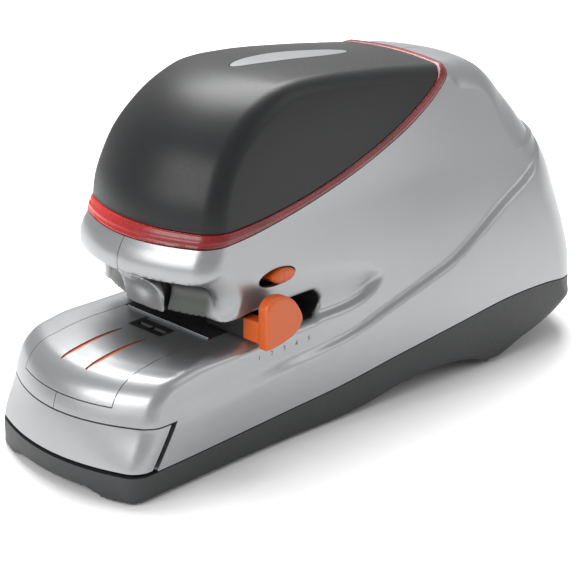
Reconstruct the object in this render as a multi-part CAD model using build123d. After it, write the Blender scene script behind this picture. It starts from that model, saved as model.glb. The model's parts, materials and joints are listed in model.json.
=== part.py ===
"""Electric desk stapler, 250 mm long, modelled in millimetres.

+Y points to the rear, +X to the operator's right as seen from behind, +Z up.
The origin is on the table top under the middle of the object.
"""
from build123d import *
from math import cos, pi, radians, sin
import os

os.makedirs("parts", exist_ok=True)

# ---------------------------------------------------------------- driving sizes
SHELL = 2.6            # wall thickness of the moulded covers
GAP = 0.3              # clearance between pieces that move past each other
FRONT_BOW = 0.0092     # how fast the front faces fall back away from the centre, 1/mm
FOOT_BOW = 0.0062      # the same at the foot of the base, which is squarer
BOW_HALF = 38.0        # the bow stops growing beyond this half width
REAR_BOW = 0.0095      # the same for the rear face
REAR_BOW_TOP = 0.0065  # extra fall of the rear face towards the roof
CROWN = 0.0026         # how fast the roof drops away from the centre, 1/mm
TABLE_Z = 41.8         # height of the stapling table
THROAT_TOP = 52.0      # underside of the head above the paper gap
THROAT_END = -31.0     # centre of the rounded end of the paper gap
STAPLE_Y = -76.0       # where the staple is driven
STAPLE_W = 13.0        # crown width of a 26/6 staple
PLATE_X = 13.0         # inner face of each steel side plate
PLATE_T = 1.6          # thickness of the side plates

# gear train, all shafts along X
MODULE = 0.9
CAM_TEETH, IDLER_PINION, IDLER_TEETH, MOTOR_TEETH = 56, 14, 50, 12
CAM_Y, CAM_Z = -15.0, 82.0
IDLER_SLOPE = radians(-31)
MOTOR_SLOPE = radians(-38)
CAM_SWEEP = 150.0      # degrees the cam gear turns for one driving stroke

# drive lever: hinged at the rear, pressed down by the cam
LEVER_Y, LEVER_Z = 40.0, 76.0
LEVER_SWEEP = 6.6      # degrees
CAM_BASE = 6.0

# lower lever that lifts the anvil
ANVIL_PIVOT_Y, ANVIL_PIVOT_Z = -29.0, 31.0
ROD_Y = 8.0

# travels of the sliding pieces
GUIDE_TRAVEL = 25.0
DRAWER_TRAVEL = 60.0

LIFT = 0.8             # height of the rubber feet that the base stands on

parts = {}


# ---------------------------------------------------------------- small helpers
def block(x0, x1, y0, y1, z0, z1):
    """Box between two corners."""
    return Pos((x0 + x1) / 2, (y0 + y1) / 2, (z0 + z1) / 2) * Box(x1 - x0, y1 - y0, z1 - z0)


def rod_x(y, z, radius, x0, x1):
    """Round bar along X."""
    return Pos((x0 + x1) / 2, y, z) * Rot(0, 90, 0) * Cylinder(radius, x1 - x0)


def rod_y(x, z, radius, y0, y1):
    """Round bar along Y."""
    return Pos(x, (y0 + y1) / 2, z) * Rot(90, 0, 0) * Cylinder(radius, y1 - y0)


def rod_z(x, y, radius, z0, z1):
    """Round bar along Z."""
    return Pos(x, y, (z0 + z1) / 2) * Cylinder(radius, z1 - z0)


def side_prism(points, x0, x1):
    """Straight-sided outline in the YZ plane, given thickness along X."""
    wire = Polyline(*[(x0, y, z) for y, z in points], close=True)
    return extrude(make_face(wire), amount=x1 - x0, dir=(1, 0, 0))


def curved_prism(wire_edges, thickness):
    """Outline of edges in a plane of constant X, given thickness along +X."""
    return extrude(make_face(Wire(wire_edges)), amount=thickness, dir=(1, 0, 0))


def fade(t):
    """Smooth step from 0 to 1."""
    t = max(0.0, min(1.0, t))
    return t * t * (3 - 2 * t)


def side_plane(x, y, z):
    """Plane that faces +X, with its own X axis along the object's Y."""
    return Plane(origin=(x, y, z), x_dir=(0, 1, 0), z_dir=(1, 0, 0))


def solid_of(shape):
    """The largest solid in a shape."""
    return max(shape.solids(), key=lambda s: s.volume)


# ---------------------------------------------------------------- outer form
def warp(x, y, z):
    """Bows the front and rear faces in plan and crowns the roof."""
    across = min(abs(x), BOW_HALF)
    front_rate = FOOT_BOW + (FRONT_BOW - FOOT_BOW) * fade((z - 8) / 18)
    rear_rate = REAR_BOW + REAR_BOW_TOP * fade((z - 30) / 60)
    front = front_rate * across * across * fade((-25 - y) / 30)
    rear = rear_rate * x * x * fade((y - 50) / 45)
    drop = CROWN * x * x * fade((z - 88) / 30)
    return (x, y + front - rear, z - drop)


FORM_X = [-48, -38, -26, -13, 0, 13, 26, 38, 48]

# side view of the outer skin at the centre, one list per smooth stretch
OUTER = [
    [(-124, 0), (-24, 0)],
    [(-24, 0), (-8, 1.2), (12, 5.0), (30, 6.4), (46, 4.4), (57, 0)],
    [(57, 0), (68, 0)],
    [(68, 0), (95, 4.5), (115, 10.5), (124.5, 15.5)],
    [(124.5, 15.5), (124, 30), (121.6, 43), (118.5, 58), (115.5, 70), (109, 81), (101, 90.5),
     (93.5, 98.5), (84, 107), (73, 112.8), (62, 115.8), (50, 117.4)],
    [(50, 117.4), (30, 120.8), (8, 124.2), (-19, 127.4), (-33, 128.0), (-44, 127.2), (-56, 123.6),
     (-66, 117.6), (-74.5, 109.5), (-80.5, 99), (-83.5, 91), (-84.5, 84.5)],
    [(-84.5, 84.5), (-87, 79), (-89.6, 75), (-90.8, 71.5), (-90.5, 67)],
    [(-90.5, 67), (-86.5, 64.8), (-82.5, 60.5), (-80.8, 55), (-80, 51)],
    [(-80, 51), (-70, THROAT_TOP)],
    [(-70, THROAT_TOP), (THROAT_END, THROAT_TOP)],
    [(THROAT_END, THROAT_TOP), (THROAT_END + 5.1, 46.9), (THROAT_END, TABLE_Z)],
    [(THROAT_END, TABLE_Z), (-85, TABLE_Z)],
    [(-85, TABLE_Z), (-104, 40.6), (-112, 38.8), (-117, 35), (-119.6, 30), (-121, 25.5)],
    [(-121, 25.5), (-124, 9.5), (-124, 0)],
]

# the hollow inside the covers
HOLLOW = [
    [(-120, 3), (-28, 3)],
    [(-28, 3), (-8, 4.4), (12, 8.2), (30, 9.4), (50, 9)],
    [(50, 9), (70, 9)],
    [(70, 9), (95, 9.6), (113, 13.5), (121, 19)],
    [(121, 19), (121, 30), (118.5, 43), (115.5, 58), (112, 69), (106, 79), (98.5, 88),
     (91, 96), (82, 104), (72, 109.6), (61, 112.4), (50, 114.2)],
    [(50, 114.2), (30, 117.6), (8, 121.0), (-19, 124.2), (-33, 124.8), (-43, 124.0), (-54.4, 120.6),
     (-64, 114.9), (-72.2, 107), (-77.8, 98), (-80.6, 90.5), (-81.6, 84.5)],
    [(-81.6, 84.5), (-84.2, 79), (-86.6, 75), (-87.6, 71.5), (-87.4, 69)],
    [(-87.4, 69), (-83.6, 66.8), (-80, 62.5), (-78, 56), (-77.6, 54.5)],
    [(-77.6, 54.5), (-22.5, 54.5)],
    [(-22.5, 54.5), (-22.5, 39)],
    [(-22.5, 39), (-85, 39)],
    [(-85, 39), (-104, 37.8), (-110.4, 36), (-114.6, 33), (-116.8, 29), (-118, 25.5)],
    [(-118, 25.5), (-120.6, 9.5), (-120, 3)],
]


def stretch(points, x):
    """One smooth stretch of a side view, moved to its place at x."""
    placed = [warp(x, y, z) for y, z in points]
    if len(placed) == 2:
        return Line(*placed)
    return Spline(*placed)


def side_loft(outline):
    """Solid lofted across X through the warped copies of one side view."""
    sections = [Wire([stretch(points, x).edge() for points in outline]) for x in FORM_X]
    return loft([make_face(w) for w in sections], ruled=False)


# half width of the body at three heights, from front to rear
WIDTH_Y = [-150, -95, -45, 0, 40, 75, 110, 150]
WIDTHS = {
    -6: [35.5, 35.5, 35.7, 38.5, 42.5, 44.5, 44.5, 44],
    24: [37.4, 37.4, 37.6, 40.2, 44.2, 46.2, 46.2, 46],
    58: [35.6, 35.6, 36.2, 38.0, 41.0, 42.6, 42.6, 42],
    84: [33.6, 33.6, 33.6, 34.0, 35.4, 36.4, 35.6, 35],
    112: [30.2, 30.2, 30.2, 29.4, 28.2, 27.2, 26.0, 25],
    140: [26.6, 26.6, 26.6, 24.8, 21.0, 18.0, 16.4, 15],
}


def width_loft(inset):
    """Solid between the two side walls, each moved in by inset."""
    faces = []
    for z, widths in WIDTHS.items():
        right = [(w - inset, y, z) for w, y in zip(widths, WIDTH_Y)]
        left = [(-x, y, z) for x, y, z in reversed(right)]
        faces.append(make_face(Wire([
            Spline(*right).edge(),
            Line(right[-1], left[0]).edge(),
            Spline(*left).edge(),
            Line(left[-1], right[0]).edge(),
        ])))
    return loft(faces, ruled=False)


print("outer form")
outer = solid_of(side_loft(OUTER) & width_loft(0))
hollow = solid_of(side_loft(HOLLOW) & width_loft(SHELL))
skin = outer - hollow

# joint lines between base, housings, light band and cover, as seen from the side
BASE_LINE = [(-150, 9.5), (-85, 10.2), (-45, 11.8), (-20, 13.6), (10, 18), (40, 22.5), (65, 25.4),
             (88, 25.2), (108, 22.6), (150, 17)]
BAND_LOW = [(-150, 78.8), (-85, 78.8), (-60, 79.8), (-26, 84.9), (6.7, 94.0), (28, 102.6),
            (40, 109.2), (47, 114.6), (51.4, 121), (54, 136)]
BAND_HIGH = [(-150, 83.8), (-85, 83.8), (-62, 83.6), (-28, 87.6), (4.7, 96.6), (26, 105.2),
             (37.6, 111.4), (44.2, 116.6), (48.6, 122), (51, 136)]


def region_below(line, floor):
    """Everything below a joint line, down to a flat floor."""
    x = -60
    pts = [(x, y, z) for y, z in line]
    edges = [
        Spline(*pts).edge(),
        Line(pts[-1], (x, pts[-1][1], floor)).edge(),
        Line((x, pts[-1][1], floor), (x, pts[0][1], floor)).edge(),
        Line((x, pts[0][1], floor), pts[0]).edge(),
    ]
    return curved_prism(edges, 120)


def region_above_band(line):
    """Everything above a joint line that ends by rising through the roof."""
    x = -60
    pts = [(x, y, z) for y, z in line]
    edges = [
        Spline(*pts).edge(),
        Line(pts[-1], (x, -150, 136)).edge(),
        Line((x, -150, 136), pts[0]).edge(),
    ]
    return curved_prism(edges, 120)


below_base = region_below(BASE_LINE, -10)
above_low = region_above_band(BAND_LOW)
above_high = region_above_band(BAND_HIGH)

# front drawer panel: the part of the jaw front between two raked ends
drawer_zone = side_prism([(-150, 9.0), (-107.6, 11.4), (-99.2, 25.4), (-150, 25.4)], -60, 60)
drawer_gap = side_prism([(-150, 8.6), (-106.4, 10.8), (-97.4, 25.8), (-150, 25.8)], -60, 60)

# magazine opening through the chin and the roof of the paper gap
MAG_X, MAG_TOP = 9.2, 63.6
mag_tunnel = block(-10.2, 10.2, -100, -4.5, 49, 65.2)


# ---------------------------------------------------------------- outer shells
print("shells")
tub = skin & below_base
parts["base_tray"] = solid_of(tub - side_prism(
    [(-150, 9.6), (-90, 9.6), (-90, 30), (-150, 30)], -60, 60))

housing = (skin - below_base - above_low) - drawer_gap - mag_tunnel

# table opening in the jaw top, filled by the table plate
TABLE_X0, TABLE_X1, TABLE_Y0, TABLE_Y1 = -22.4, 22.4, -108.0, -24.0
housing -= block(TABLE_X0, TABLE_X1, TABLE_Y0, TABLE_Y1, 34, 46)

# window for the mode switch, window for the power socket
SWITCH_Y, SWITCH_Z = -48.5, 62.6
JACK_X, JACK_Z = -18.0, 30.0
JACK_HALF = 5.6        # half width of the square window round the socket
switch_window = extrude(
    side_plane(29, SWITCH_Y, SWITCH_Z) * SlotOverall(17.4, 5.6), 20)
housing -= switch_window
housing -= block(JACK_X - JACK_HALF, JACK_X + JACK_HALF, 100, 140, JACK_Z - JACK_HALF, JACK_Z + JACK_HALF)
halves = {"housing_left": block(-70, 0, -150, 150, -10, 150), "housing_right": block(0, 70, -150, 150, -10, 150)}
for name, half in halves.items():
    parts[name] = solid_of(housing & half)

band = (skin & above_low) - above_high
parts["light_band"] = solid_of(band)
BUTTON_Y, BUTTON_HALF_X, BUTTON_HALF_Y = -8.0, 5.6, 29.0
button_hole = extrude(
    Pos(0, BUTTON_Y, 110) * Ellipse(BUTTON_HALF_X + 0.4, BUTTON_HALF_Y + 0.4), 30)
parts["top_cover"] = solid_of((skin & above_high) - button_hole)

print("jaw and table")
plate_form = outer & block(TABLE_X0 + 0.2, TABLE_X1 - 0.2, TABLE_Y0 + 0.2, THROAT_END + 0.4, 39.2, 46)
ANVIL_WINDOW = (-8.8, 8.8, -80.5, -70.4)
GUIDE_X = STAPLE_W / 2
plate_form -= block(*ANVIL_WINDOW, 30, 50)
for side in (-1, 1):
    plate_form -= block(side * GUIDE_X - 0.8, side * GUIDE_X + 0.8, -106, -83, 40.4, 50)
parts["table_plate"] = solid_of(plate_form)
marks = []
for side in (-1, 1):
    strip = block(side * GUIDE_X - 0.75, side * GUIDE_X + 0.75, -105.9, -83.1, 40.4, 41.2)
    marks.append(outer & strip)
parts["guide_marks"] = Compound(children=[solid_of(m) for m in marks])

# ---------------------------------------------------------------- storage drawer
print("drawer")
front_panel = (skin & drawer_zone) - Pos(0, 0, GAP + 0.05) * below_base
front_panel = solid_of(front_panel)
parts["drawer_front"] = front_panel
TRAY_Z0, TRAY_Z1, TRAY_Y0, TRAY_Y1, TRAY_X = 10.6, 24.6, -117.0, -52.0, 26.0
tray = block(-TRAY_X, TRAY_X, TRAY_Y0 + 8, TRAY_Y1, TRAY_Z0, TRAY_Z1)
tray -= block(-TRAY_X + 1.6, TRAY_X - 1.6, TRAY_Y0 + 9.6, TRAY_Y1 - 1.6, TRAY_Z0 + 1.6, TRAY_Z1 + 5)
for x in (-20.0, 20.0):
    tray += block(x - 3, x + 3, TRAY_Y0 + 2, TRAY_Y0 + 8.2, TRAY_Z0 + 2, TRAY_Z1 - 2)
tray -= front_panel
parts["drawer_tray"] = solid_of(tray)
spare = []
for x in (-15.5, 0.0, 15.5):
    bar = block(x - 6.5, x + 6.5, -104, -56, TRAY_Z0 + 1.65, TRAY_Z0 + 7.65)
    bar -= block(x - 6.0, x + 6.0, -105, -55, TRAY_Z0 + 1.0, TRAY_Z0 + 7.15)
    spare.append(bar)
parts["spare_staples"] = Compound(children=[solid_of(s) for s in spare])

# ---------------------------------------------------------------- steel frame
print("frame")
LEFT_PLATE = [
    (-84, 27), (14, 27), (14, 70), (46, 70), (46, 88), (4, 104), (-45, 104), (-70, 92), (-70, 66.5),
    (-20, 66.5), (-20, 37), (-84, 37)]
RIGHT_PLATE = [
    (-84, 27), (58, 27), (58, 80), (46, 88), (4, 104), (-45, 104), (-70, 92), (-70, 66.5),
    (-20, 66.5), (-20, 37), (-84, 37)]
CAM_R, IDLER_R = MODULE * CAM_TEETH / 2, MODULE * IDLER_TEETH / 2
IDLER_SMALL_R, MOTOR_R = MODULE * IDLER_PINION / 2, MODULE * MOTOR_TEETH / 2
IDLER_Y = CAM_Y + (CAM_R + IDLER_SMALL_R) * cos(IDLER_SLOPE)
IDLER_Z = CAM_Z + (CAM_R + IDLER_SMALL_R) * sin(IDLER_SLOPE)
MOTOR_Y = IDLER_Y + (IDLER_R + MOTOR_R) * cos(MOTOR_SLOPE)
MOTOR_Z = IDLER_Z + (IDLER_R + MOTOR_R) * sin(MOTOR_SLOPE)
print("cam", CAM_Y, CAM_Z, "idler", IDLER_Y, IDLER_Z, "motor", MOTOR_Y, MOTOR_Z)

SHAFT_R, BUSH_R = 3.0, 4.6
TIE_RODS = [(-60, 88), (-28, 100), (4, 97), (1, 42)]
TIE_R = 2.5
pivots = [(LEVER_Y, LEVER_Z, SHAFT_R), (ANVIL_PIVOT_Y, ANVIL_PIVOT_Z, 2.0)]


def side_plate(outline, x0, holes):
    """Steel plate of the stapling frame with its bores."""
    plate = side_prism(outline, x0, x0 + PLATE_T)
    for y, z, radius in holes:
        plate -= rod_x(y, z, radius, x0 - 1, x0 + PLATE_T + 1)
    return plate


holes = [(CAM_Y, CAM_Z, BUSH_R)] + pivots + [(y, z, TIE_R) for y, z in TIE_RODS]
parts["chassis_left"] = side_plate(LEFT_PLATE, -PLATE_X - PLATE_T, holes)
motor_holes = [(IDLER_Y, IDLER_Z, 2.0), (MOTOR_Y, MOTOR_Z, 6.5)]
parts["chassis_right"] = side_plate(RIGHT_PLATE, PLATE_X, holes + motor_holes)
ties = [rod_x(y, z, TIE_R, -PLATE_X - PLATE_T - 1.2, PLATE_X + PLATE_T + 1.2) for y, z in TIE_RODS]
parts["tie_rods"] = Compound(children=ties)
parts["lever_pin"] = rod_x(LEVER_Y, LEVER_Z, SHAFT_R, -PLATE_X - PLATE_T - 1.2, PLATE_X + PLATE_T + 1.2)
parts["anvil_pin"] = rod_x(
    ANVIL_PIVOT_Y, ANVIL_PIVOT_Z, 2.0, -PLATE_X - PLATE_T - 1, PLATE_X + PLATE_T + 1)
parts["idler_pin"] = rod_x(IDLER_Y, IDLER_Z, 2.0, PLATE_X - 0.8, 29.0)
bushes = []
for x0 in (-PLATE_X - PLATE_T - 0.6, PLATE_X - 0.6):
    ring = rod_x(CAM_Y, CAM_Z, BUSH_R, x0, x0 + PLATE_T + 1.2)
    bushes.append(ring - rod_x(CAM_Y, CAM_Z, SHAFT_R + 0.05, x0 - 1, x0 + 5))
parts["cam_bushes"] = Compound(children=bushes)

# posts that carry the frame on the base tray
posts = []
for x in (-PLATE_X - PLATE_T - 6.4, PLATE_X + PLATE_T + 0.2):
    for y in (-44, 6):
        foot = block(x, x + 6.2, y - 4, y + 4, 2.0, 35.5) - block(x - 1, x + 8, y - 2, y + 2, 12, 28)
        posts.append(foot & hollow)
parts["frame_posts"] = Compound(children=[solid_of(p) for p in posts])


# ---------------------------------------------------------------- gears
def gear(teeth, x0, x1, bore, phase):
    """Spur gear along X, centred on the X axis, with straight-sided teeth."""
    pitch_r = MODULE * teeth / 2
    tip, root = pitch_r + MODULE * 0.9, pitch_r - MODULE * 1.2
    step = 2 * pi / teeth
    corners = []
    for i in range(teeth):
        middle = phase + i * step
        for radius, offset in ((root, -0.33), (pitch_r, -0.225), (tip, -0.11),
                               (tip, 0.11), (pitch_r, 0.225), (root, 0.33)):
            angle = middle + offset * step
            corners.append((radius * cos(angle), radius * sin(angle)))
    return side_prism(corners, x0, x1) - rod_x(0, 0, bore, x0 - 1, x1 + 1)


def mesh_phase(teeth, slope, other_teeth, other_phase):
    """Tooth angle that puts a gear in mesh with its neighbour along the given slope."""
    other_step = 2 * pi / other_teeth
    offset = ((slope - other_phase) / other_step) % 1.0
    step = 2 * pi / teeth
    return slope + pi + (0.5 + offset) * step


print("gears")
GEAR_X0 = 17.0
cam_phase = 0.0
idler_phase = mesh_phase(IDLER_PINION, IDLER_SLOPE, CAM_TEETH, cam_phase)
motor_phase = mesh_phase(MOTOR_TEETH, MOTOR_SLOPE, IDLER_TEETH, idler_phase)
cam_wheel = gear(CAM_TEETH, GEAR_X0, GEAR_X0 + 4, SHAFT_R, cam_phase)
for k in range(6):
    a = k * pi / 3
    cam_wheel -= rod_x(15.5 * cos(a), 15.5 * sin(a), 4.0, GEAR_X0 - 1, GEAR_X0 + 5)
parts["cam_gear"] = Pos(0, CAM_Y, CAM_Z) * cam_wheel
idler = gear(IDLER_PINION, GEAR_X0 - 0.5, GEAR_X0 + 5.5, 2.05, idler_phase)
idler += gear(IDLER_TEETH, GEAR_X0 + 5.5, GEAR_X0 + 9, 2.05, idler_phase)
parts["idler_gear"] = Pos(0, IDLER_Y, IDLER_Z) * idler
parts["motor_pinion"] = Pos(0, MOTOR_Y, MOTOR_Z) * gear(
    MOTOR_TEETH, GEAR_X0 + 4.8, GEAR_X0 + 9.6, 1.2, motor_phase)

# ---------------------------------------------------------------- cam, shaft and levers
LEVER_TOP = LEVER_Z - GAP      # flat top of the lever that the cam presses
lever_ratio = LEVER_SWEEP / CAM_SWEEP


def cam_support(normal):
    """Distance from the cam axis to the lever's top, and its slope, for a contact normal (radians)."""
    swing_rate = lever_ratio / (1 - lever_ratio)
    arm, rise = LEVER_Y - CAM_Y, CAM_Z - LEVER_Z
    end = radians(CAM_SWEEP) * (1 - lever_ratio)

    def pressed(turn):
        swing = turn * swing_rate
        reach = arm * sin(swing) + rise * cos(swing)
        return reach, swing_rate * (arm * cos(swing) - rise * sin(swing))

    if normal <= end:
        return pressed(normal)
    # the return flank is one cubic that meets the working flank smoothly at both ends
    high, high_slope = pressed(end)
    low, low_slope = pressed(0)
    span = 2 * pi - end
    t = (normal - end) / span
    reach = (high * (2 * t**3 - 3 * t**2 + 1) + high_slope * span * (t**3 - 2 * t**2 + t)
             + low * (3 * t**2 - 2 * t**3) + low_slope * span * (t**3 - t**2))
    slope = ((high - low) * (6 * t**2 - 6 * t) / span + high_slope * (3 * t**2 - 4 * t + 1)
             + low_slope * (3 * t**2 - 2 * t))
    return reach, slope


# A positive turn about +X brings the point that lies behind the downward direction
# under the axis, so the outline runs backwards from there.
cam_points = []
for step in range(72):
    normal = step * 2 * pi / 72
    reach, slope = cam_support(normal)
    direction = -pi / 2 - normal
    cam_points.append((
        CAM_Y + reach * cos(direction) + slope * sin(direction),
        CAM_Z + reach * sin(direction) - slope * cos(direction)))
cam_lobe = side_prism(cam_points, -4.0, 4.0)
parts["cam"] = cam_lobe - rod_x(CAM_Y, CAM_Z, SHAFT_R, -6, 6)
parts["cam_shaft"] = rod_x(CAM_Y, CAM_Z, SHAFT_R, -PLATE_X - PLATE_T - 2.5, GEAR_X0 + 6)

TIP_Y, TIP_Z, TIP_R = STAPLE_Y + 2.2, 81.6, 1.5
lever = side_prism([
    (LEVER_Y + 7, LEVER_Z - 5), (LEVER_Y + 7, LEVER_Z + 5), (LEVER_Y - 7, LEVER_Z + 5),
    (LEVER_Y - 12, LEVER_TOP), (-31, LEVER_TOP), (-36, 77.5), (-62, 83.2), (TIP_Y, TIP_Z + TIP_R),
    (TIP_Y, TIP_Z - TIP_R), (-60, 77), (-45, 74.5), (-30, 72), (-12, 70.4),
    (ROD_Y, LEVER_Z - 6)], -5, 5)
lever += rod_x(TIP_Y, TIP_Z, TIP_R, -5, 5)
lever -= rod_x(LEVER_Y, LEVER_Z, SHAFT_R + 0.05, -6, 6)
parts["drive_lever"] = lever

# driver: guide block with the blade under it, hooked over the tip of the lever
DRIVER_X, DRIVER_Z0, DRIVER_Z1 = 6.3, 77.9, 86.5
BLADE_Z0 = 64.0
driver = block(-DRIVER_X, DRIVER_X, STAPLE_Y - 2.4, STAPLE_Y + 2.0, DRIVER_Z0, DRIVER_Z1)
driver -= block(-5.4, 5.4, STAPLE_Y - 0.4, STAPLE_Y + 3, TIP_Z - TIP_R - GAP, TIP_Z + TIP_R + GAP)
parts["driver_block"] = driver
parts["driver_blade"] = block(
    -DRIVER_X, DRIVER_X, STAPLE_Y - 0.3, STAPLE_Y + 0.3, BLADE_Z0, DRIVER_Z0)

# guides on both sides of the driver, fixed between the frame plates
guides = []
for side in (-1, 1):
    rail = block(6.7, PLATE_X, STAPLE_Y - 1.4, STAPLE_Y + 14, 66, 86.6)
    rail -= block(6.0, 10.6, STAPLE_Y + 2.4, STAPLE_Y + 15, 60, 90)
    guides.append(rail if side > 0 else mirror(rail, Plane.YZ))
parts["driver_guides"] = Compound(children=[solid_of(g) for g in guides])

# lift rod from the drive lever down to the tail of the lower lever
ROD_TOP = LEVER_Z - 6 - GAP - 0.05
ROD_LOW = 34.2
ROD_FOOT_GAP = 0.75            # the lever's tail swings in an arc, so the rod starts a little clear of it
parts["lift_rod"] = rod_z(0, ROD_Y, 2.2, ROD_LOW + ROD_FOOT_GAP, ROD_TOP - 3) + block(
    -4, 4, ROD_Y - 3, ROD_Y + 3, ROD_TOP - 3, ROD_TOP)
bracket = block(-PLATE_X, PLATE_X, ROD_Y - 4.5, ROD_Y + 4.5, 48, 52)
parts["rod_bracket"] = bracket - rod_z(0, ROD_Y, 2.26, 40, 60)

anvil_lever = side_prism([
    (-80.4, 33.0), (-72.0, 33.0), (-60, 34), (ANVIL_PIVOT_Y, 35.4), (ROD_Y + 4, ROD_LOW),
    (ROD_Y + 4, 30.4), (ANVIL_PIVOT_Y, 27.2), (-80.4, 29.2)], -6, 6)
anvil_lever -= rod_x(ANVIL_PIVOT_Y, ANVIL_PIVOT_Z, 2.05, -7, 7)
parts["anvil_lever"] = solid_of(anvil_lever)
anvil = block(-8.2, 8.2, -79.6, -72.4, 33.05, 41.4)
for side in (-1, 1):
    anvil -= side_prism([(-77.4, 41.9), (-74.6, 41.9), (-76, 40.6)], side * 3.6 - 3.2, side * 3.6 + 3.2)
parts["anvil"] = anvil

# ---------------------------------------------------------------- magazine
print("magazine")
MAG_Y0, MAG_Y1 = -78.6, -8.0
MAG_Z0 = 51.2
channel = block(-MAG_X, MAG_X, MAG_Y0, MAG_Y1, MAG_Z0, MAG_TOP)
channel -= block(-6.75, 6.75, MAG_Y0 - 1, MAG_Y1 - 1.5, 53.4, MAG_TOP + 1)
core = block(-5.3, 5.3, -73.6, MAG_Y1 - 1.4, 53.2, 59.0)
channel += core
channel -= block(-6.75, 6.75, STAPLE_Y - 0.7, STAPLE_Y + 0.7, 50, 60)
parts["magazine_body"] = solid_of(channel)
nose = outer & block(-10.0, 10.0, -95, MAG_Y0, 50, 64.4)
parts["magazine_front"] = solid_of(nose)
STRIP_Y1 = -44.0
strip = block(-6.5, 6.5, STAPLE_Y + 0.95, STRIP_Y1, 53.6, 59.8) - block(
    -5.9, 5.9, -80, -40, 53, 59.25)
parts["staple_strip"] = solid_of(strip)
pusher = block(-6.5, 6.5, STRIP_Y1 + GAP, STRIP_Y1 + 12, 53.6, 62.0) - block(
    -5.6, 5.6, -50, -30, 53, 59.3)
parts["pusher"] = solid_of(pusher)
parts["pusher_coil"] = rod_x(STRIP_Y1 + 14.4, 61.4, 2.2, -4, 4)

# latch that holds the magazine in: a sprung hook behind its rear wall
LATCH_Y, LATCH_Z = 0.5, 60.0
latch = side_prism([(-6.9, 63.9), (3.2, 63.9), (3.2, 57.4), (-2.2, 57.4), (-2.2, 61.4), (-6.9, 61.4)], -4, 4)
latch -= rod_x(LATCH_Y, LATCH_Z, 1.3, -5, 5)
latch_cut = block(-5, 5, -8.1, -6.5, 60, 66)
parts["magazine_latch"] = solid_of(latch - latch_cut)
latch_pin = rod_x(LATCH_Y, LATCH_Z, 1.25, -PLATE_X, PLATE_X)
parts["latch_pin"] = latch_pin

# ---------------------------------------------------------------- depth guide, switch, button
print("controls")
TAB_X0, TAB_X1 = 38.3, 43.4
TAB_FRONT = -62.2
tab_points = [(TAB_FRONT, 41.4), (TAB_FRONT, 56.0), (-59.6, 59.0), (-55.5, 59.2), (-50.4, 57.2),
              (-46, 52.8), (-44.2, 47.6), (-47, 44), (-53, 41.6)]
tab_edges = [
    Line((TAB_X0, *tab_points[0]), (TAB_X0, *tab_points[1])).edge(),
    Spline(*[(TAB_X0, y, z) for y, z in tab_points[1:7]]).edge(),
    Spline(*[(TAB_X0, y, z) for y, z in tab_points[6:]]).edge(),
    Line((TAB_X0, *tab_points[-1]), (TAB_X0, *tab_points[0])).edge(),
]
tab = curved_prism(tab_edges, TAB_X1 - TAB_X0)
stem = block(-30, TAB_X0 + 0.5, TAB_FRONT + 0.4, TAB_FRONT + 5.4, TABLE_Z + 0.6, THROAT_TOP - 1.6)
stem -= block(-12, 12, TAB_FRONT - 1, TAB_FRONT + 3, 40, 60)
parts["depth_guide"] = solid_of(tab + stem)

knob = extrude(side_plane(29.0, SWITCH_Y + 2.5, SWITCH_Z) * SlotOverall(11.6, 4.8), 7.0)
parts["mode_switch"] = solid_of(knob)
parts["switch_body"] = block(22.6, 28.7, SWITCH_Y - 8, SWITCH_Y + 9, SWITCH_Z - 4, SWITCH_Z + 4)

cap = extrude(Pos(0, BUTTON_Y, 118.5) * Ellipse(BUTTON_HALF_X, BUTTON_HALF_Y), 14) & outer
parts["trigger_button"] = solid_of(cap)
parts["button_spring"] = rod_z(0, BUTTON_Y, 3.5, 110.9, 118.4) - rod_z(0, BUTTON_Y, 2.7, 110, 120)
parts["button_switch"] = block(-5.5, 5.5, BUTTON_Y - 5.5, BUTTON_Y + 5.5, 105.6, 110.8)
parts["control_board"] = block(-20, 20, -24, 10, 104.2, 105.6) - block(15.5, 22, -45, 14, 100, 108)

# ---------------------------------------------------------------- motor and electrics
print("electrics")
motor_can = rod_x(MOTOR_Y, MOTOR_Z, 17.8, -34, PLATE_X) + rod_x(MOTOR_Y, MOTOR_Z, 6.4, PLATE_X, 14.6)
motor_can += rod_x(MOTOR_Y, MOTOR_Z, 5.0, -36, -34)
parts["motor"] = motor_can - rod_x(MOTOR_Y, MOTOR_Z, 1.6, -40, 20)
parts["motor_shaft"] = rod_x(MOTOR_Y, MOTOR_Z, 1.2, -34, GEAR_X0 + 10)
cradle = block(-30, 8, MOTOR_Y - 12, MOTOR_Y + 12, 3.0, MOTOR_Z) - rod_x(MOTOR_Y, MOTOR_Z, 17.9, -40, 20)
cradle -= block(-26, 4, MOTOR_Y - 13, MOTOR_Y + 13, 12, 24)
parts["motor_cradle"] = solid_of(cradle & hollow)
parts["power_board"] = block(-30, 30, 66, 106, 33, 34.6)
parts["board_posts"] = Compound(children=[
    solid_of(rod_z(x, y, 3.0, 2, 33) & hollow) for x in (-26, 26) for y in (70, 94)])
parts["capacitor"] = rod_z(14, 88, 7.0, 34.6, 56)
JACK_Y0, JACK_Y1, JACK_BORE = 108.0, 117.4, 2.8     # depth, mouth and radius of the plug's bore
jack = block(JACK_X - 7, JACK_X + 7, 98.5, 112, 22.5, 37.5)
jack += rod_y(JACK_X, JACK_Z, 5.0, 112, JACK_Y1)
jack -= rod_y(JACK_X, JACK_Z, JACK_BORE, JACK_Y0, 125)
jack -= block(-31, 31, 60, 106.5, 32, 40)
parts["power_socket"] = solid_of(jack)
parts["lamp_board"] = block(-15, 15, -78, -72, 86.9, 88.2)
parts["lamps"] = Compound(children=[rod_z(x, -75, 1.4, 88.2, 92) for x in (-11.0, 0.0, 11.0)])

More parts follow.
